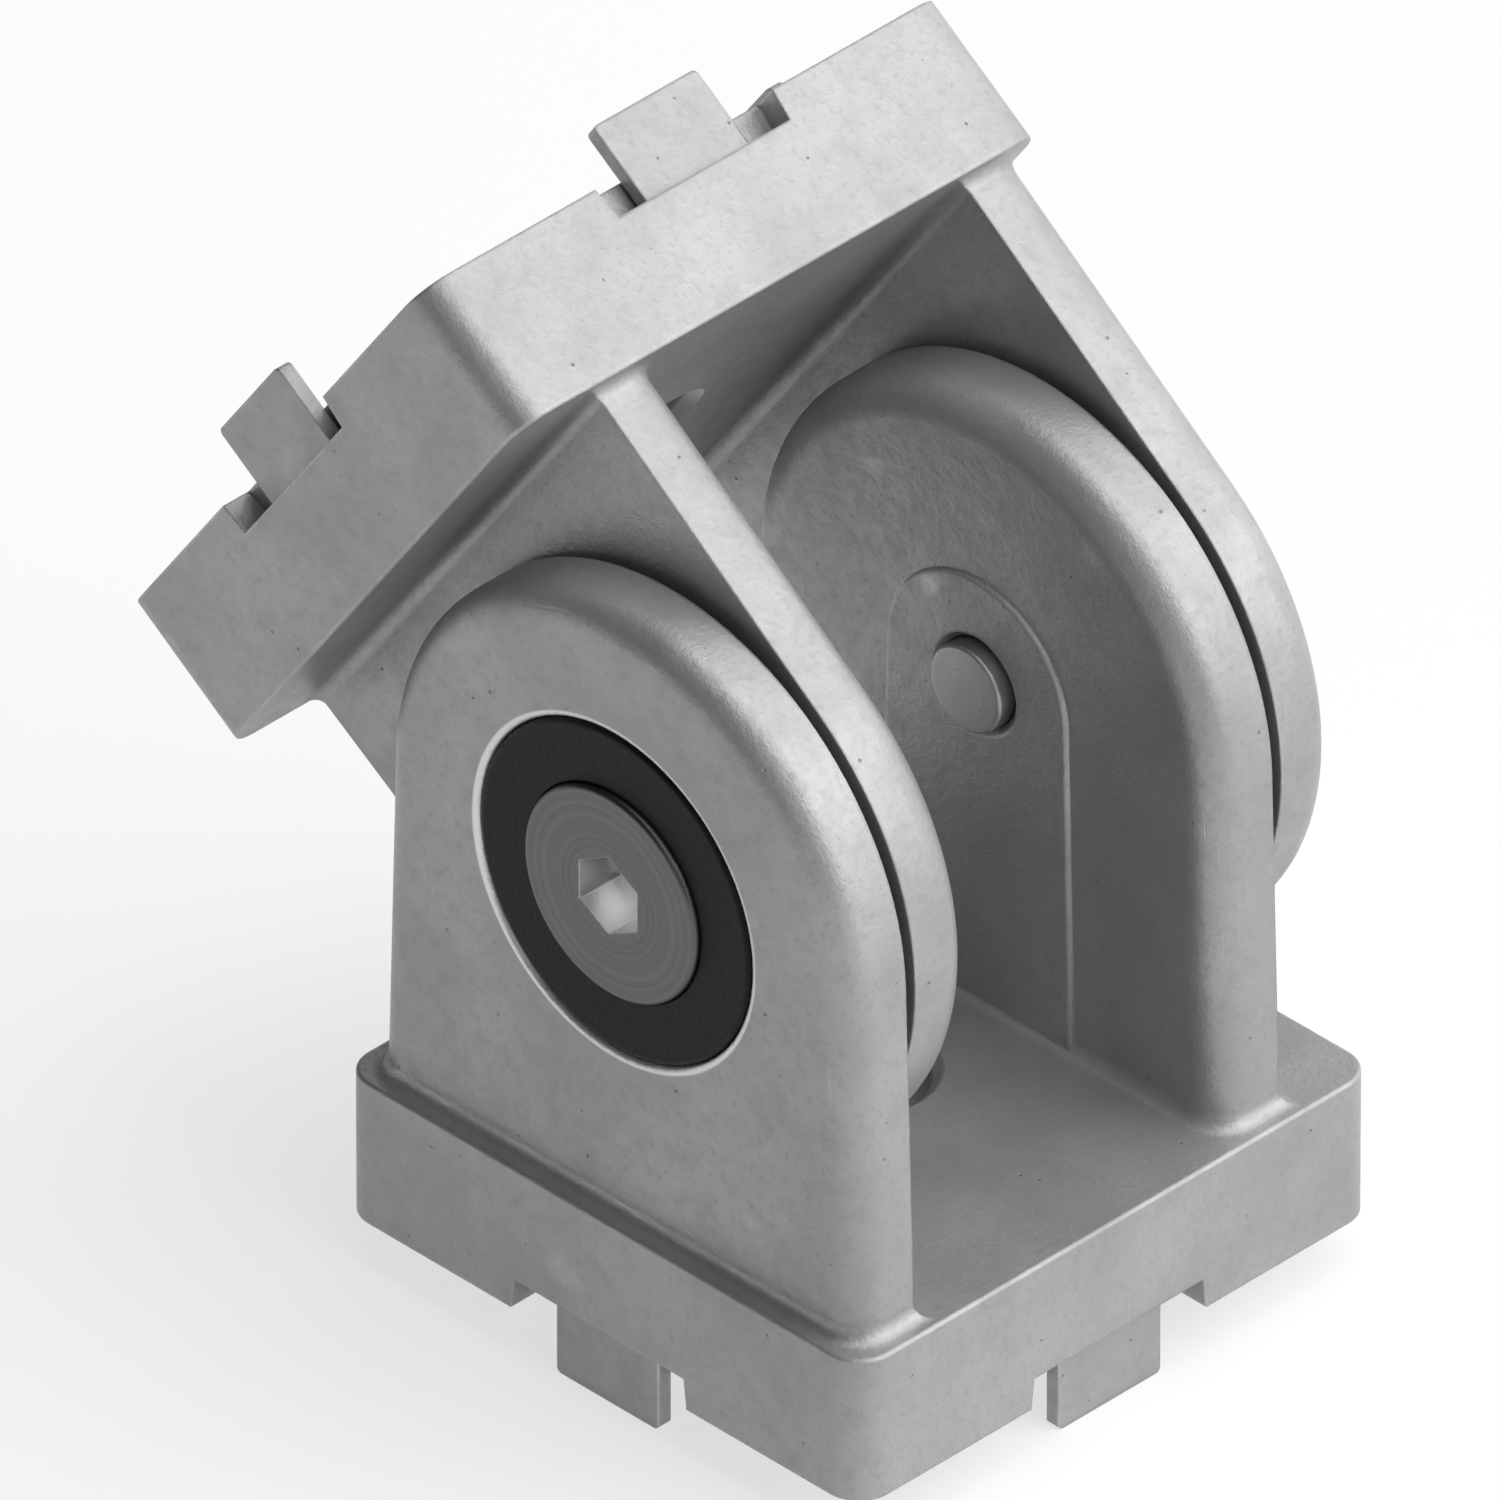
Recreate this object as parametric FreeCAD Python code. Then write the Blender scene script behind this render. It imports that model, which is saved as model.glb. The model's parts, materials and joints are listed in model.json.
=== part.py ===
import FreeCAD, Part
import math
import os

# Profile pivot joint, in millimetres and degrees.
# Two identical castings, each a square foot plate with two round-topped ears,
# swing about one axis. At each end of the axis an outer ear of one casting
# lies against an inner ear of the other, and a shoulder bolt clamps the pair.
# The origin is the centre of the lower mounting face. The pivot axis runs
# along Y, and the upper fork leans towards -X.

# Foot plate, as wide as the profile that it screws to
profile_side = 45.0
plate_thickness = 10.5
plate_corner_radius = 2.5
plate_rim_radius = 0.2

# Pivot
pivot_height = 34.2
rest_tilt = 55.0

# Ears
ear_radius = 20.25
outer_ear_thickness = 4.9
inner_ear_thickness = 5.05
ear_face_margin = 1.35
ear_side_margin = 1.5
ear_edge_radius = 2.5
ear_root_radius = 1.0
ear_anchor_depth = 4.0

# Friction washer, which sets the gap between a pair of ears
washer_thickness = 0.75
washer_axial_clearance = 0.05
washer_outer_radius = 13.0
washer_bore_clearance = 0.15

# Screw hole in the middle of each foot plate
screw_hole_radius = 4.5
screw_hole_chamfer = 0.7

# Tongues that enter the profile's slots, each in a pocket of its own
tongue_width = 8.8
tongue_thickness = 1.05
tongue_reach = 3.6
tongue_corner_radius = 0.4
tongue_inset = 0.8
pocket_floor_width = 14.7
pocket_mouth_width = 15.2
pocket_depth = 2.2
pocket_back_gap = 0.35

# Shoulder bolt
bolt_head_radius = 7.4
bolt_head_thickness = 2.0
bolt_head_proud = 0.45
bolt_head_rim_radius = 0.4
bolt_shoulder_radius = 5.0
bolt_shoulder_end_gap = 0.3
bolt_thread_radius = 3.0
bolt_end_protrusion = 0.9
bolt_end_chamfer = 0.15
hex_across_flats = 5.0
hex_depth = 4.0
hex_tip_half_angle = 60.0

# Fits round the bolt
shoulder_clearance = 0.05
thread_clearance = 0.05

# Bearing bush round the bolt's shoulder
bush_wall = 1.45
bush_seat_clearance = 0.02

# Black seat ring under the bolt's head, nearly flush with the ear's face
ring_outer_radius = 11.65
ring_pocket_clearance = 0.05
ring_pocket_depth = 2.4
ring_face_depth = 0.05
ring_rim_radius = 0.4
ring_head_clearance = 0.1

# Rounded mouth of the ring's pocket
pocket_mouth_radius = 0.5

# Arched pad round the tapped hole of the inner ear, and the hole's chamfer
pad_radius = 7.7
pad_height = 0.3
pad_edge_radius = 0.25
pad_foot_half_width = 8.3
tapped_hole_chamfer = 0.5

# Cutting tools reach this far past the faces that they open
overcut = 1.0

# How far an edge may lie from where it is looked for
tolerance = 0.001

# Places that follow from the sizes above
plate_half = profile_side / 2
ear_foot_half_width = plate_half - ear_side_margin
ear_gap = washer_thickness + 2 * washer_axial_clearance
outer_mating_y = -(plate_half - ear_face_margin - outer_ear_thickness)
inner_mating_y = -outer_mating_y - ear_gap
ring_pocket_radius = ring_outer_radius + ring_pocket_clearance
bush_bore_radius = bolt_shoulder_radius + shoulder_clearance
bush_outer_radius = bush_bore_radius + bush_wall
tapped_hole_radius = bolt_thread_radius + thread_clearance
ring_recess_radius = bolt_head_radius + ring_head_clearance
head_seat_depth = bolt_head_thickness - bolt_head_proud

X_AXIS = FreeCAD.Vector(1, 0, 0)
Y_AXIS = FreeCAD.Vector(0, 1, 0)
Z_AXIS = FreeCAD.Vector(0, 0, 1)
ORIGIN = FreeCAD.Vector(0, 0, 0)
PIVOT = FreeCAD.Vector(0, 0, pivot_height)


def closed_face(edges):
    """A flat face bounded by the given edges."""
    return Part.Face(Part.Wire(Part.__sortEdges__(edges)))


def polygon_face(points):
    """A flat face through the given corner points."""
    return Part.Face(Part.makePolygon(points + [points[0]]))


def turned(profile):
    """A solid of revolution about Y from (radius, y) corner points."""
    points = [FreeCAD.Vector(radius, y, 0) for radius, y in profile]
    return polygon_face(points).revolve(ORIGIN, Y_AXIS, 360)


def drum(radius, y_start, y_end):
    """A cylinder about Y from y_start to y_end."""
    return Part.makeCylinder(radius, y_end - y_start, FreeCAD.Vector(0, y_start, 0), Y_AXIS)


def touches_plane(edge, axis_index, value):
    """Whether the whole edge lies in the plane where one coordinate has this value."""
    box = edge.BoundBox
    low = (box.XMin, box.YMin, box.ZMin)[axis_index]
    high = (box.XMax, box.YMax, box.ZMax)[axis_index]
    return abs(low - value) < tolerance and abs(high - value) < tolerance


def arch_face(top_radius, foot_half_width, foot_z, bottom_z, y):
    """An arch in a plane across Y: a round top about the axis and two straight tangent sides.

    The sides run from the round top through the foot's corners and on to bottom_z.
    """
    foot_distance = math.hypot(foot_half_width, foot_z)
    foot_angle = math.atan2(foot_z, foot_half_width)
    tangent_angle = foot_angle + math.acos(top_radius / foot_distance)
    tangent_x = top_radius * math.cos(tangent_angle)
    tangent_z = top_radius * math.sin(tangent_angle)
    slope = (foot_half_width - tangent_x) / (foot_z - tangent_z)
    bottom_x = foot_half_width + (bottom_z - foot_z) * slope
    right_bottom = FreeCAD.Vector(bottom_x, y, bottom_z)
    right_top = FreeCAD.Vector(tangent_x, y, tangent_z)
    left_top = FreeCAD.Vector(-tangent_x, y, tangent_z)
    left_bottom = FreeCAD.Vector(-bottom_x, y, bottom_z)
    crown = Part.Arc(right_top, FreeCAD.Vector(0, y, top_radius), left_top)
    return closed_face([
        Part.makeLine(right_bottom, right_top),
        crown.toShape(),
        Part.makeLine(left_top, left_bottom),
        Part.makeLine(left_bottom, right_bottom),
    ])


def arch_solid(top_radius, foot_half_width, y_free, y_back, edge_radius):
    """An arch from y_free to y_back, with the edge round its free face rounded."""
    foot_z = plate_thickness - pivot_height
    bottom_z = foot_z - ear_anchor_depth
    face = arch_face(top_radius, foot_half_width, foot_z, bottom_z, y_free)
    solid = face.extrude(FreeCAD.Vector(0, y_back - y_free, 0))
    rim = [
        edge for edge in solid.Edges
        if touches_plane(edge, 1, y_free) and not touches_plane(edge, 2, bottom_z)
    ]
    return solid.makeFillet(edge_radius, rim)


def ear_blank(thickness):
    """An ear about the pivot axis, its mating face at y = 0 and its free face towards -Y."""
    return arch_solid(ear_radius, ear_foot_half_width, -thickness, 0, ear_edge_radius)


def pocket_mouth():
    """The flared, rounded mouth of the ring's pocket, which opens through the ear's free face."""
    y_face = -outer_ear_thickness
    flare_radius = ring_pocket_radius + pocket_mouth_radius
    bend = pocket_mouth_radius * (1 - math.sqrt(0.5))
    wall_end = FreeCAD.Vector(ring_pocket_radius, y_face + pocket_mouth_radius, 0)
    middle = FreeCAD.Vector(ring_pocket_radius + bend, y_face + bend, 0)
    face_end = FreeCAD.Vector(flare_radius, y_face, 0)
    outside_edge = FreeCAD.Vector(flare_radius, y_face - overcut, 0)
    outside_axis = FreeCAD.Vector(0, y_face - overcut, 0)
    inside_axis = FreeCAD.Vector(0, y_face + pocket_mouth_radius, 0)
    section = closed_face([
        Part.Arc(wall_end, middle, face_end).toShape(),
        Part.makeLine(face_end, outside_edge),
        Part.makeLine(outside_edge, outside_axis),
        Part.makeLine(outside_axis, inside_axis),
        Part.makeLine(inside_axis, wall_end),
    ])
    return section.revolve(ORIGIN, Y_AXIS, 360)


def outer_ear_cuts():
    """The ring's pocket and the bush's bore, cut into the outer ear."""
    y_face = -outer_ear_thickness
    pocket = drum(ring_pocket_radius, y_face, y_face + ring_pocket_depth)
    bore = drum(bush_outer_radius + bush_seat_clearance, y_face, overcut)
    return pocket.fuse([pocket_mouth(), bore])


def inner_ear_pad():
    """The shallow arched pad on the inner ear's free face, down to the foot plate."""
    y_face = -inner_ear_thickness
    y_pad = y_face - pad_height
    return arch_solid(pad_radius, pad_foot_half_width, y_pad, y_face + pad_height, pad_edge_radius)


def tapped_hole():
    """The inner ear's threaded hole, as a plain bore at the thread's outer size, chamfered at the pad."""
    y_pad = -inner_ear_thickness - pad_height
    bore = drum(tapped_hole_radius, y_pad, overcut)
    mouth = Part.makeCone(
        tapped_hole_radius + tapped_hole_chamfer + overcut, tapped_hole_radius,
        tapped_hole_chamfer + overcut, FreeCAD.Vector(0, y_pad - overcut, 0), Y_AXIS)
    return bore.fuse(mouth)


def plate_blank():
    """The square foot plate with rounded corners and a softened inner rim."""
    corner = FreeCAD.Vector(-plate_half, -plate_half, 0)
    plate = Part.makeBox(profile_side, profile_side, plate_thickness, corner)
    uprights = [
        edge for edge in plate.Edges
        if edge.BoundBox.ZLength > plate_thickness / 2
    ]
    plate = plate.makeFillet(plate_corner_radius, uprights)
    rim = [edge for edge in plate.Edges if touches_plane(edge, 2, plate_thickness)]
    return plate.makeFillet(plate_rim_radius, rim)


def screw_hole():
    """The hole for the profile's end screw, chamfered where the screw enters."""
    mouth_radius = screw_hole_radius + screw_hole_chamfer
    shaft = Part.makeCylinder(
        screw_hole_radius, plate_thickness + 2 * overcut, FreeCAD.Vector(0, 0, -overcut))
    mouth = Part.makeCone(
        screw_hole_radius, mouth_radius + overcut, screw_hole_chamfer + overcut,
        FreeCAD.Vector(0, 0, plate_thickness - screw_hole_chamfer))
    return shaft.fuse(mouth)


def tongue_pocket():
    """The pocket for the tongue on the -Y side, open to that side and to the mounting face."""
    mouth_half = pocket_mouth_width / 2
    floor_half = pocket_floor_width / 2
    draft = (mouth_half - floor_half) / pocket_depth
    below_half = mouth_half + draft * overcut
    y_open = -plate_half - overcut
    corners = [
        FreeCAD.Vector(-below_half, y_open, -overcut),
        FreeCAD.Vector(-floor_half, y_open, pocket_depth),
        FreeCAD.Vector(floor_half, y_open, pocket_depth),
        FreeCAD.Vector(below_half, y_open, -overcut),
    ]
    reach = overcut + tongue_inset + tongue_thickness + pocket_back_gap
    return polygon_face(corners).extrude(Y_AXIS * reach)


def tongue():
    """The tongue on the -Y side, standing out of its pocket past the mounting face."""
    anchored_height = tongue_reach + pocket_depth + plate_rim_radius
    corner = FreeCAD.Vector(-tongue_width / 2, -plate_half + tongue_inset, -tongue_reach)
    blade = Part.makeBox(tongue_width, tongue_thickness, anchored_height, corner)
    tips = [
        edge for edge in blade.Edges
        if touches_plane(edge, 2, -tongue_reach) and edge.BoundBox.YLength > tongue_thickness / 2
    ]
    return blade.makeFillet(tongue_corner_radius, tips)


def around_plate(shape):
    """The shape on each of the plate's four sides."""
    copies = []
    for quarter in range(4):
        copy = shape.copy()
        copy.rotate(ORIGIN, Z_AXIS, 90 * quarter)
        copies.append(copy)
    return copies


def placed_on_axis(shape, mating_y):
    """An ear's shape, moved from the pivot axis to its place over the foot plate."""
    copy = shape.copy()
    copy.translate(PIVOT + Y_AXIS * mating_y)
    return copy


def ear_root_edges(body):
    """The edges where the ears meet the foot plate's inner face."""
    inside = plate_half - plate_rim_radius - tolerance
    return [
        edge for edge in body.Edges
        if touches_plane(edge, 2, plate_thickness)
        and edge.BoundBox.XMax < inside
        and edge.BoundBox.XMin > -inside
        and edge.BoundBox.YMax < inside
        and edge.BoundBox.YMin > -inside
    ]


def fork():
    """One casting, with its mounting face down at z = 0."""
    body = plate_blank()
    body = body.fuse(placed_on_axis(ear_blank(outer_ear_thickness), outer_mating_y))
    body = body.fuse(placed_on_axis(ear_blank(inner_ear_thickness), inner_mating_y))
    body = body.removeSplitter()
    body = body.makeFillet(ear_root_radius, ear_root_edges(body))
    body = body.fuse(placed_on_axis(inner_ear_pad(), inner_mating_y))
    body = body.cut(placed_on_axis(outer_ear_cuts(), outer_mating_y))
    body = body.cut(placed_on_axis(tapped_hole(), inner_mating_y))
    body = body.cut(screw_hole())
    body = body.cut(around_plate(tongue_pocket()))
    body = body.fuse(around_plate(tongue()))
    return body.removeSplitter()


def hex_socket():
    """The bolt's hex socket, its flats facing +X and -X, with a pointed bottom."""
    corner_radius = hex_across_flats / math.sqrt(3)
    corners = []
    for index in range(6):
        angle = math.radians(30 + 60 * index)
        corners.append(FreeCAD.Vector(
            corner_radius * math.cos(angle), -overcut, corner_radius * math.sin(angle)))
    prism = polygon_face(corners).extrude(Y_AXIS * (hex_depth + overcut))
    flat_radius = hex_across_flats / 2
    tip_depth = flat_radius / math.tan(math.radians(hex_tip_half_angle))
    tip = Part.makeCone(flat_radius, 0, tip_depth, FreeCAD.Vector(0, hex_depth, 0), Y_AXIS)
    return prism.fuse(tip)


def pivot_bolt():
    """A shoulder bolt about Y, its head's top at y = 0 and its end towards +Y."""
    inner_ear_start = bolt_head_proud + outer_ear_thickness + ear_gap
    shoulder_end = inner_ear_start - bolt_shoulder_end_gap
    end = inner_ear_start + inner_ear_thickness + pad_height + bolt_end_protrusion
    body = turned([
        (0, 0),
        (bolt_head_radius, 0),
        (bolt_head_radius, bolt_head_thickness),
        (bolt_shoulder_radius, bolt_head_thickness),
        (bolt_shoulder_radius, shoulder_end),
        (bolt_thread_radius, shoulder_end),
        (bolt_thread_radius, end - bolt_end_chamfer),
        (bolt_thread_radius - bolt_end_chamfer, end),
        (0, end),
    ])
    rim = [
        edge for edge in body.Edges
        if touches_plane(edge, 1, 0) and edge.BoundBox.XMax > bolt_head_radius - tolerance
    ]
    body = body.makeFillet(bolt_head_rim_radius, rim)
    return body.cut(hex_socket())


def seat_ring():
    """The ring that seats the bolt's head, the outer ear's free face at y = 0."""
    body = turned([
        (bush_bore_radius, head_seat_depth),
        (ring_recess_radius, head_seat_depth),
        (ring_recess_radius, ring_face_depth),
        (ring_outer_radius, ring_face_depth),
        (ring_outer_radius, ring_pocket_depth),
        (bush_bore_radius, ring_pocket_depth),
    ])
    rim = [
        edge for edge in body.Edges
        if touches_plane(edge, 1, ring_face_depth) and edge.BoundBox.XMax > ring_outer_radius - tolerance
    ]
    return body.makeFillet(ring_rim_radius, rim)


def bearing_bush():
    """The plain bush in the outer ear, under the seat ring, the ear's free face at y = 0."""
    bore_start = ring_pocket_depth - overcut
    bore_end = outer_ear_thickness + overcut
    sleeve = drum(bush_outer_radius, ring_pocket_depth, outer_ear_thickness)
    return sleeve.cut(drum(bush_bore_radius, bore_start, bore_end))


def friction_washer():
    """The thin washer between a pair of ears, the outer ear's free face at y = 0."""
    y_start = outer_ear_thickness + washer_axial_clearance
    y_end = y_start + washer_thickness
    bore = bolt_shoulder_radius + washer_bore_clearance
    return drum(washer_outer_radius, y_start, y_end).cut(drum(bore, y_start - overcut, y_end + overcut))


def in_outer_ear(shape, depth):
    """A pivot piece put in the lower fork's outer ear, this deep below its free face."""
    copy = shape.copy()
    copy.translate(PIVOT + Y_AXIS * (outer_mating_y - outer_ear_thickness + depth))
    return copy


def turned_over(shape):
    """A lower part's twin on the upper side, turned over about the pivot and leaning at rest."""
    copy = shape.copy()
    copy.rotate(PIVOT, X_AXIS, 180)
    copy.rotate(PIVOT, Y_AXIS, -rest_tilt)
    return copy


def build_parts():
    """Every piece of the joint, by name, at its place in the assembly."""
    lower = {
        "lower_fork": fork(),
        "front_pivot_bolt": in_outer_ear(pivot_bolt(), -bolt_head_proud),
        "front_seat_ring": in_outer_ear(seat_ring(), 0),
        "front_bearing_bush": in_outer_ear(bearing_bush(), 0),
        "front_friction_washer": in_outer_ear(friction_washer(), 0),
    }
    parts = dict(lower)
    for name, shape in lower.items():
        twin = name.replace("lower", "upper").replace("front", "rear")
        parts[twin] = turned_over(shape)
    return parts


os.makedirs("parts", exist_ok=True)
for part_name, part_shape in build_parts().items():
    part_shape.exportStep("parts/" + part_name + ".step")
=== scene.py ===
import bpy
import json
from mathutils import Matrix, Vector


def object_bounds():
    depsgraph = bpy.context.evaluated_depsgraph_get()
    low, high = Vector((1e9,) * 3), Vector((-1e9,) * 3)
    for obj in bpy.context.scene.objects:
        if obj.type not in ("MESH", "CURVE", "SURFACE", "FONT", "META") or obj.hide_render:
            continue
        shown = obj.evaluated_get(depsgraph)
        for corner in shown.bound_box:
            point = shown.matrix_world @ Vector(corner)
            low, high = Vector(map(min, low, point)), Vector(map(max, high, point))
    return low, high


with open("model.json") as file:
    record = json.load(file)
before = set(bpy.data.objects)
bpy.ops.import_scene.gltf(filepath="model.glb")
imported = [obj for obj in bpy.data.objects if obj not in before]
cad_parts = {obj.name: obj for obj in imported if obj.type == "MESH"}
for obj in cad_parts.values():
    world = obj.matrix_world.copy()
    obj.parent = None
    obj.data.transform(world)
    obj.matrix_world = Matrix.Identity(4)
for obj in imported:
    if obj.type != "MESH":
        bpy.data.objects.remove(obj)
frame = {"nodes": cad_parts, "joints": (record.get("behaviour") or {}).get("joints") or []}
cad_box = [list(corner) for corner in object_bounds()]

import json
import math

import bpy
from mathutils import Matrix, Vector

MM = 0.001
TILT = next(joint for joint in frame["joints"] if joint["name"] == "tilt")
PIVOT = Vector(TILT["pos_m"])
REST_TILT = math.radians(55)

# All azimuths and elevations are in degrees, azimuths from +X towards +Y.
# The view: along an isometric axis, with a lens so long that it looks parallel.
VIEW_AZIMUTH = -45
VIEW_ELEVATION = math.degrees(math.atan(math.sqrt(0.5)))
VIEW_CENTRE = Vector((-4.73, -4.67, 34.27)) * MM
IMAGE_WIDTH = 91.54 * MM
LENS = 1600
SENSOR = 36
CLIP_START = 0.1
CLIP_END = 200

# The bolt's sizes that its finish follows, as in the CAD
SOCKET_RADIUS = 2.95 * MM
SOCKET_MOUTH_Y = 21.56 * MM
SOCKET_FLOOR_Y = 15.0 * MM
BARE_END_Y = 10.4 * MM

# The ring's pocket in the outer ear, as in the CAD
MOUTH_RADIUS = 12.2 * MM
POCKET_FLOOR_Y = -18.7 * MM

# Colours of the cast forks
SKIN_DARK = (0.385, 0.390, 0.400, 1)
SKIN_PALE = (0.460, 0.465, 0.473, 1)
MOTTLED = (0.34, 0.345, 0.355, 1)
BLASTED = (0.33, 0.335, 0.345, 1)
PORE = (0.13, 0.13, 0.135, 1)
SCRATCHED = (0.66, 0.66, 0.67, 1)
RUBBED = (0.64, 0.64, 0.645, 1)
# Painted shade for creases and recesses
CREVICE_PAINTED_SHADE = (0.16, 0.16, 0.165, 1)
# Painted highlight on the pocket's rounded mouth
MOUTH_PAINTED_HIGHLIGHT = (0.85, 0.85, 0.85, 1)

# Colours of the bolts
STEEL_DARK = (0.105, 0.105, 0.11, 1)
STEEL_PALE = (0.15, 0.15, 0.155, 1)
TURNED_LINE = (0.22, 0.22, 0.225, 1)
STEEL_SPECK = (0.11, 0.11, 0.115, 1)
STEEL_EDGE = (0.60, 0.60, 0.60, 1)
BARE_END = (0.50, 0.50, 0.50, 1)
# Painted light for the hex socket's walls
SOCKET_PAINTED_LIGHT = (0.92, 0.92, 0.92, 1)

# The floor's own colour, and its glow to the rays that see it, near the object and far off
FLOOR_HALF_SIDE = 60.0
FLOOR_COLOUR = 0.35
GLOW_NEAR = 0.66
GLOW_FAR = 1.0
NEAR_END = 0.3
FAR_START = 3.0

# The world is bright around this direction, and dim away from it.
BRIGHT_SIDE_AZIMUTH = 55
BRIGHT_SIDE_ELEVATION = 35
SKY_BRIGHT = 0.88
SKY_DIM = 0.04

# Soft lamps: name, azimuth, elevation, power in watts, diameter in metres
LAMPS = [
    ("low_right", 20, 25, 3.9, 1.2),
    ("low_back", 85, 15, 0.8, 0.6),
    ("low_left", 135, 15, 0.6, 0.6),
    ("high_right", 35, 55, 5.0, 1.4),
    ("front", 315, 35, 0.5, 0.6),
    ("top", 0, 88, 1.0, 0.6),
]
LAMPS_AIM = Vector((0, 0, 0.03))


def grey(value):
    return (value, value, value, 1.0)


def direction(azimuth, elevation):
    """The unit vector that points there from the object."""
    turn, rise = math.radians(azimuth), math.radians(elevation)
    level = math.cos(rise)
    return Vector((level * math.cos(turn), level * math.sin(turn), math.sin(rise)))


class Nodes:
    """A small writer for the node tree of a material or a world."""

    def __init__(self, tree):
        self.tree = tree
        tree.nodes.clear()

    def put(self, node, name, value):
        """Sets an input, or links it to a socket or to a node's first output."""
        socket = node.inputs[name]
        if isinstance(value, bpy.types.Node):
            value = value.outputs[0]
        if isinstance(value, bpy.types.NodeSocket):
            self.tree.links.new(value, socket)
        else:
            socket.default_value = value

    def add(self, kind, inputs, **settings):
        node = self.tree.nodes.new(kind)
        for name, value in settings.items():
            setattr(node, name, value)
        for name, value in inputs.items():
            self.put(node, name, value)
        return node

    def math(self, operation, a, b=0.0, clamp=False):
        node = self.add("ShaderNodeMath", {0: a, 1: b}, operation=operation, use_clamp=clamp)
        return node.outputs[0]

    def scaled(self, value, factor, offset=0.0):
        node = self.add("ShaderNodeMath", {0: value, 1: factor, 2: offset},
                        operation="MULTIPLY_ADD")
        return node.outputs[0]

    def step(self, value, low, high):
        """0 up to low, 1 from high on, and smooth between them; low may be the larger."""
        node = self.add("ShaderNodeMapRange", {"Value": value, "From Min": low, "From Max": high},
                        interpolation_type="SMOOTHSTEP")
        return node.outputs[0]

    # A Mix node keeps its colours in inputs 6 and 7 and output 2, its floats in 2 and 3 and 0.
    def mix(self, factor, a, b):
        return self.add("ShaderNodeMix", {0: factor, 6: a, 7: b}, data_type="RGBA").outputs[2]

    def blend(self, factor, a, b):
        return self.add("ShaderNodeMix", {0: factor, 2: a, 3: b}, data_type="FLOAT").outputs[0]

    def object_place(self):
        return self.add("ShaderNodeTexCoord", {}).outputs["Object"]

    def from_pivot_axis(self, axes):
        """The distance from the pivot axis, for a node that separates X, Y and Z."""
        height = self.math("SUBTRACT", axes.outputs["Z"], PIVOT.z)
        along = self.math("POWER", axes.outputs["X"], 2.0)
        return self.math("SQRT", self.math("ADD", along, self.math("POWER", height, 2.0)))

    def noise(self, place, feature, detail=2.0, roughness=0.5):
        """Noise with features of about this size in metres."""
        node = self.add("ShaderNodeTexNoise", {
            "Vector": place, "Scale": 1.0 / feature, "Detail": detail, "Roughness": roughness})
        return node.outputs["Fac"]

    def specks(self, place, spacing, size):
        """1 in small round specks, one to a cell of this spacing; size is their radius in cells."""
        cells = self.add("ShaderNodeTexVoronoi", {"Vector": place, "Scale": 1.0 / spacing})
        return self.step(cells.outputs["Distance"], size, size * 0.4)

    def scratches(self, place, turn):
        """1 along sparse hairlines, about 9 mm long and 0.18 mm wide."""
        length, slimness = 9 * MM, 50.0
        stretched = self.add("ShaderNodeMapping", {
            "Vector": place, "Rotation": turn, "Scale": (1.0, slimness, 1.0)})
        return self.step(self.noise(stretched, length, 2.0, 0.6), 0.68, 0.74)

    def bump(self, height, distance, strength, normal):
        return self.add("ShaderNodeBump", {
            "Height": height, "Distance": distance, "Strength": strength, "Normal": normal})

    def sharp_edges(self, radius):
        """1 on sharp outer and inner edges, 0 on flats, and the rounded normal."""
        rounded = self.add("ShaderNodeBevel", {"Radius": radius}, samples=4)
        flat = self.add("ShaderNodeNewGeometry", {})
        dot = self.add("ShaderNodeVectorMath", {0: rounded, 1: flat.outputs["Normal"]},
                       operation="DOT_PRODUCT")
        return self.step(dot.outputs["Value"], 0.995, 0.90), rounded


def new_material(name):
    material = bpy.data.materials.new(name)
    material.use_nodes = True
    return material, Nodes(material.node_tree)


def finish_material(n, colour, roughness, normal, metallic, specular=0.5):
    shader = n.add("ShaderNodeBsdfPrincipled", {
        "Base Color": colour, "Roughness": roughness, "Normal": normal, "Metallic": metallic,
        "Specular IOR Level": specular})
    n.add("ShaderNodeOutputMaterial", {"Surface": shader})


# ---------------------------------------------------------------- materials

def to_lower_fork(upper):
    """The matrix that brings a fork's points to the lower fork's place, for one finish on both."""
    if not upper:
        return Matrix.Identity(4)
    there = Matrix.Translation(PIVOT)
    turn = Matrix.Rotation(-REST_TILT, 4, "Y") @ Matrix.Rotation(math.pi, 4, "X")
    return (there @ turn @ there.inverted()).inverted()


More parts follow.
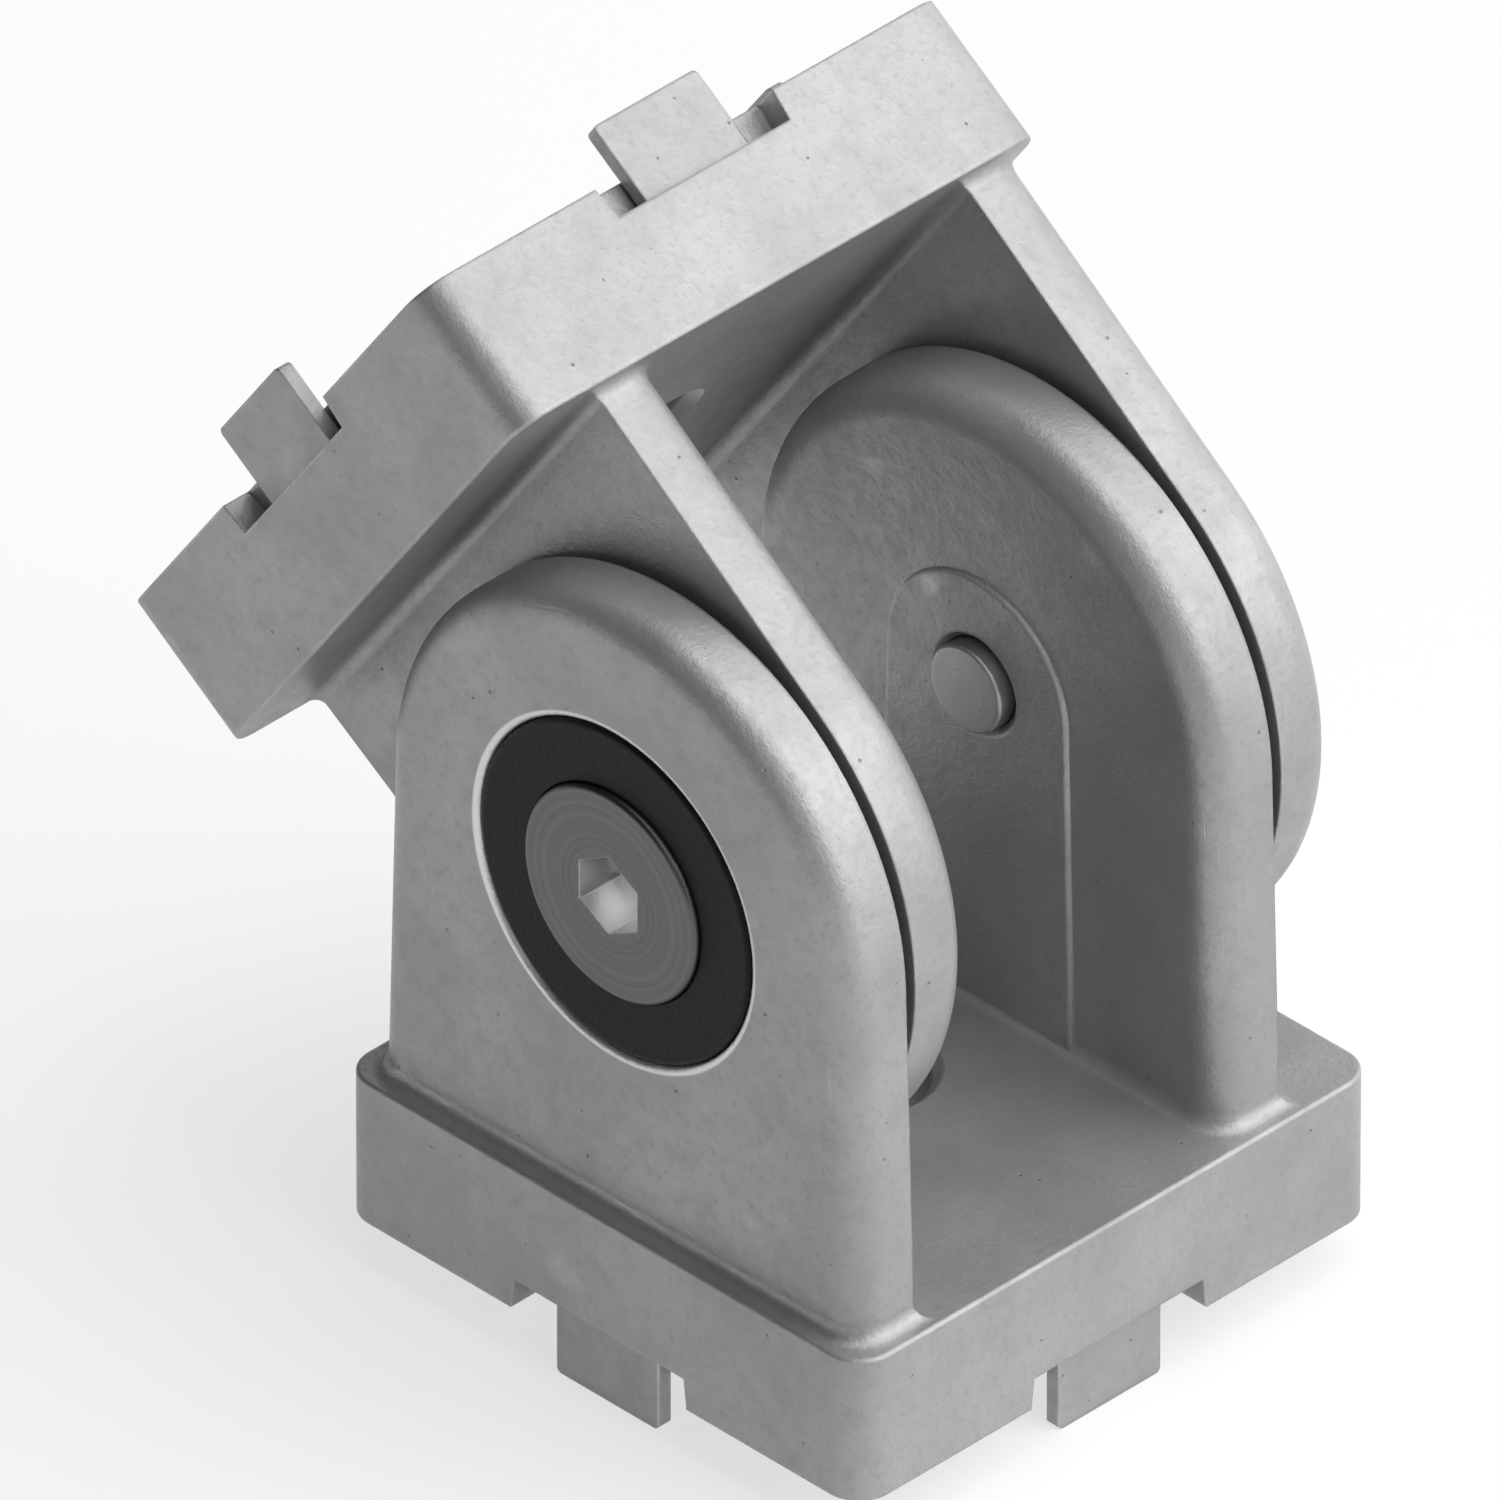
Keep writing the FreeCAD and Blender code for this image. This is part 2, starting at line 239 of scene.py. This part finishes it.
def cast_metal(name, upper):
    """Satin light alloy, die cast and blasted: cloudy skin, fine relief, bare where edges rub."""
    material, n = new_material(name)
    matrix = to_lower_fork(upper)
    place = n.add("ShaderNodeMapping", {
        "Vector": n.object_place(), "Location": matrix.to_translation(),
        "Rotation": matrix.to_euler()}).outputs[0]

    cloud = n.noise(place, 9 * MM, 4.0, 0.55)
    mottle = n.noise(place, 1.5 * MM, 4.0, 0.6)
    blast = n.noise(place, 0.50 * MM, 3.0, 0.6)
    grain = n.noise(place, 0.16 * MM, 2.0)
    ripple = n.noise(place, 6 * MM, 1.0)
    pore = n.math("MULTIPLY", n.specks(place, 1.9 * MM, 0.085), n.step(mottle, 0.50, 0.56))
    edge, rounded = n.sharp_edges(0.32 * MM)
    worn = n.math("MULTIPLY", edge, n.blend(n.step(cloud, 0.35, 0.60), 0.35, 1.0), clamp=True)
    scratch = n.math("MAXIMUM", n.scratches(place, (0.3, 0.7, 0.5)),
                     n.scratches(place, (1.3, 2.1, 0.2)))
    scratch = n.math("MULTIPLY", scratch, n.step(cloud, 0.38, 0.62))
    crevice_shade = n.add("ShaderNodeAmbientOcclusion", {"Distance": 1.6 * MM}, samples=4).outputs["AO"]

    colour = n.mix(n.step(cloud, 0.30, 0.70), SKIN_DARK, SKIN_PALE)
    colour = n.mix(n.scaled(n.step(mottle, 0.45, 0.75), 0.30), colour, MOTTLED)
    colour = n.mix(n.scaled(n.step(blast, 0.52, 0.70), 0.45), colour, BLASTED)
    colour = n.mix(n.scaled(pore, 0.75), colour, PORE)
    colour = n.mix(n.scaled(scratch, 0.32), colour, SCRATCHED)
    colour = n.mix(n.scaled(worn, 0.75), colour, RUBBED)
    # Painted shade: darker in creases and recesses, from ambient occlusion within 1.6 mm.
    colour = n.mix(n.scaled(n.step(crevice_shade, 0.45, 0.10), 0.8), colour, CREVICE_PAINTED_SHADE)

    rough = n.scaled(blast, 0.12, n.scaled(mottle, 0.26, 0.24))
    rough = n.blend(n.math("MAXIMUM", worn, scratch), rough, 0.26)
    metallic = n.blend(worn, 0.52, 0.92)
    sunk = n.math("SUBTRACT", 0.0, n.math("MAXIMUM", pore, n.scaled(scratch, 0.3)))
    normal = n.bump(ripple, 0.10 * MM, 0.5, rounded)
    normal = n.bump(mottle, 0.030 * MM, 0.5, normal)
    normal = n.bump(blast, 0.075 * MM, 0.6, normal)
    normal = n.bump(grain, 0.03 * MM, 0.5, normal)
    normal = n.bump(sunk, 0.06 * MM, 0.7, normal)

    # Painted highlight: the pocket's rounded mouth is painted near white, with less metal and lower
    # roughness, so that it shows as a bright crescent.
    axes = n.add("ShaderNodeSeparateXYZ", {0: place})
    inside = n.step(n.from_pivot_axis(axes), MOUTH_RADIUS + 0.1 * MM, MOUTH_RADIUS - 0.1 * MM)
    painted_mouth_highlight = n.math("MULTIPLY", inside, n.math("LESS_THAN", axes.outputs["Y"], POCKET_FLOOR_Y))
    colour = n.mix(painted_mouth_highlight, colour, MOUTH_PAINTED_HIGHLIGHT)
    metallic = n.blend(painted_mouth_highlight, metallic, 0.6)
    rough = n.blend(painted_mouth_highlight, rough, 0.30)
    finish_material(n, colour, rough, normal, metallic)
    return material


def turned_steel():
    """Dark-finished steel turned about the pivot axis, a bare end, and painted light in the socket.
    """
    material, n = new_material("turned_steel_finish")
    place = n.object_place()
    axes = n.add("ShaderNodeSeparateXYZ", {0: place})
    radius = n.from_pivot_axis(axes)
    depth = n.math("ABSOLUTE", axes.outputs["Y"])

    across = n.add("ShaderNodeCombineXYZ", {"X": radius, "Y": depth})
    lines = n.noise(across, 0.34 * MM, 3.0, 0.7)
    bands = n.noise(across, 1.3 * MM, 2.0)
    speck = n.noise(place, 0.35 * MM, 3.0, 0.6)
    smudge = n.noise(place, 4 * MM, 3.0)
    edge, rounded = n.sharp_edges(0.15 * MM)

    below_mouth = n.math("LESS_THAN", depth, SOCKET_MOUTH_Y)
    above_floor = n.math("GREATER_THAN", depth, SOCKET_FLOOR_Y)
    socket = n.math("MULTIPLY", n.math("LESS_THAN", radius, SOCKET_RADIUS), below_mouth)
    socket = n.math("MULTIPLY", socket, above_floor)
    bare_end = n.step(depth, BARE_END_Y + 0.4 * MM, BARE_END_Y)

    colour = n.mix(bands, STEEL_DARK, STEEL_PALE)
    colour = n.mix(n.scaled(n.step(lines, 0.45, 0.62), 0.26), colour, TURNED_LINE)
    colour = n.mix(n.scaled(n.step(speck, 0.60, 0.75), 0.4), colour, STEEL_SPECK)
    colour = n.mix(n.scaled(edge, 0.7), colour, STEEL_EDGE)
    colour = n.mix(n.scaled(bare_end, 0.8), colour, BARE_END)
    # Painted light: the hex socket's walls are painted near white, as if light reached deep inside.
    colour = n.mix(socket, colour, SOCKET_PAINTED_LIGHT)
    rough = n.scaled(smudge, 0.14, n.scaled(lines, 0.16, 0.24))
    rough = n.blend(socket, rough, 0.30)
    normal = n.bump(lines, 0.022 * MM, 0.6, rounded)
    finish_material(n, colour, rough, normal, 1.0)
    return material


def moulded(name, dark, pale, texture, roughness, edge_wear_and_sheen):
    """Matt moulded plastic: eroded texture, faint flow clouds, paler flecks, worn edges with
    painted sheen.
    """
    material, n = new_material(name)
    place = n.object_place()
    cloud = n.noise(place, 5 * MM, 3.0)
    pits = n.noise(place, texture, 3.0, 0.65)
    fleck = n.noise(place, 0.5 * MM, 2.0)
    edge, rounded = n.sharp_edges(0.12 * MM)
    colour = n.mix(cloud, (*dark, 1), (*pale, 1))
    colour = n.mix(n.scaled(n.step(fleck, 0.66, 0.74), 0.30), colour, grey(pale[0] * 2.2))
    # Paler edges: partly wear, partly a painted sheen along them.
    colour = n.mix(n.scaled(edge, edge_wear_and_sheen), colour, grey(pale[0] * 3.5))
    rough = n.scaled(pits, 0.20, n.scaled(cloud, 0.10, roughness - 0.15))
    normal = n.bump(pits, 0.07 * MM, 0.6, rounded)
    finish_material(n, colour, rough, normal, 0.0, specular=0.16)
    return material


def dress(ending, material):
    """Puts the material on every CAD node whose name ends so."""
    for name, node in frame["nodes"].items():
        if name.endswith(ending):
            node.data.materials.clear()
            node.data.materials.append(material)


dress("lower_fork", cast_metal("lower_cast_finish", False))
dress("upper_fork", cast_metal("upper_cast_finish", True))
dress("_bolt", turned_steel())
dress("_ring", moulded("seat_ring_finish", (0.006, 0.006, 0.007), (0.014, 0.014, 0.015),
                       0.40 * MM, roughness=0.46, edge_wear_and_sheen=0.35))
dress("_bush", moulded("bush_finish", (0.13, 0.13, 0.135), (0.18, 0.18, 0.185),
                       0.35 * MM, roughness=0.50, edge_wear_and_sheen=0.2))
dress("_washer", moulded("washer_finish", (0.030, 0.030, 0.032), (0.050, 0.050, 0.053),
                         0.30 * MM, roughness=0.48, edge_wear_and_sheen=0.2))


# ---------------------------------------------------------------- stage

def make_floor():
    """A floor at the tongues' tips that takes the shadow and looks near white, in metal too."""
    lowest = cad_box[0][2]
    half = FLOOR_HALF_SIDE
    corners = [(-half, -half, lowest), (half, -half, lowest),
               (half, half, lowest), (-half, half, lowest)]
    mesh = bpy.data.meshes.new("floor")
    mesh.from_pydata(corners, [], [(0, 1, 2, 3)])
    floor = bpy.data.objects.new("floor", mesh)
    bpy.context.scene.collection.objects.link(floor)

    material, n = new_material("floor_finish")
    path = n.add("ShaderNodeLightPath", {}).outputs
    seen = n.math("MAXIMUM", path["Is Camera Ray"], path["Is Glossy Ray"])
    seen = n.math("MAXIMUM", seen, path["Is Transmission Ray"])
    away = n.add("ShaderNodeVectorMath", {0: n.object_place()}, operation="LENGTH")
    level = n.blend(n.step(away.outputs["Value"], NEAR_END, FAR_START), GLOW_NEAR, GLOW_FAR)
    matt = n.add("ShaderNodeBsdfDiffuse", {"Color": grey(FLOOR_COLOUR)})
    glow = n.add("ShaderNodeEmission", {
        "Color": grey(1.0), "Strength": n.math("MULTIPLY", seen, level)})
    both = n.add("ShaderNodeAddShader", {0: matt, 1: glow})
    n.add("ShaderNodeOutputMaterial", {"Surface": both})
    mesh.materials.append(material)


def make_world():
    """A broad soft light from one side, dim elsewhere, white at the horizon and below it."""
    world = bpy.data.worlds.new("studio")
    bpy.context.scene.world = world
    world.use_nodes = True
    n = Nodes(world.node_tree)
    ray = n.add("ShaderNodeTexCoord", {}).outputs["Generated"]
    height = n.add("ShaderNodeSeparateXYZ", {0: ray}).outputs["Z"]
    towards = direction(BRIGHT_SIDE_AZIMUTH, BRIGHT_SIDE_ELEVATION)
    facing = n.add("ShaderNodeVectorMath", {0: ray, 1: towards}, operation="DOT_PRODUCT")
    bright = n.step(facing.outputs["Value"], 0.25, 0.85)
    sky = n.mix(bright, grey(SKY_DIM), grey(SKY_BRIGHT))
    colour = n.mix(n.step(height, 0.06, 0.02), sky, grey(1.0))
    background = n.add("ShaderNodeBackground", {"Color": colour})
    n.add("ShaderNodeOutputWorld", {"Surface": background})


def make_lamp(name, azimuth, elevation, power, diameter):
    """A round soft lamp, a metre from the object and turned to it."""
    away = direction(azimuth, elevation)
    data = bpy.data.lights.new(name, "AREA")
    data.shape = "DISK"
    data.size = diameter
    data.energy = power
    lamp = bpy.data.objects.new(name, data)
    lamp.location = away + LAMPS_AIM
    lamp.rotation_euler = away.to_track_quat("Z", "Y").to_euler()
    lamp.visible_camera = False
    bpy.context.scene.collection.objects.link(lamp)


def make_camera():
    away = direction(VIEW_AZIMUTH, VIEW_ELEVATION)
    data = bpy.data.cameras.new("camera")
    data.lens = LENS
    data.sensor_width = SENSOR
    data.clip_start = CLIP_START
    data.clip_end = CLIP_END
    camera = bpy.data.objects.new("camera", data)
    camera.location = VIEW_CENTRE + away * (IMAGE_WIDTH * LENS / SENSOR)
    camera.rotation_euler = away.to_track_quat("Z", "Y").to_euler()
    bpy.context.scene.collection.objects.link(camera)
    bpy.context.scene.camera = camera


make_floor()
make_world()
for lamp_row in LAMPS:
    make_lamp(*lamp_row)
make_camera()
bpy.context.scene.view_settings.view_transform = "Standard"
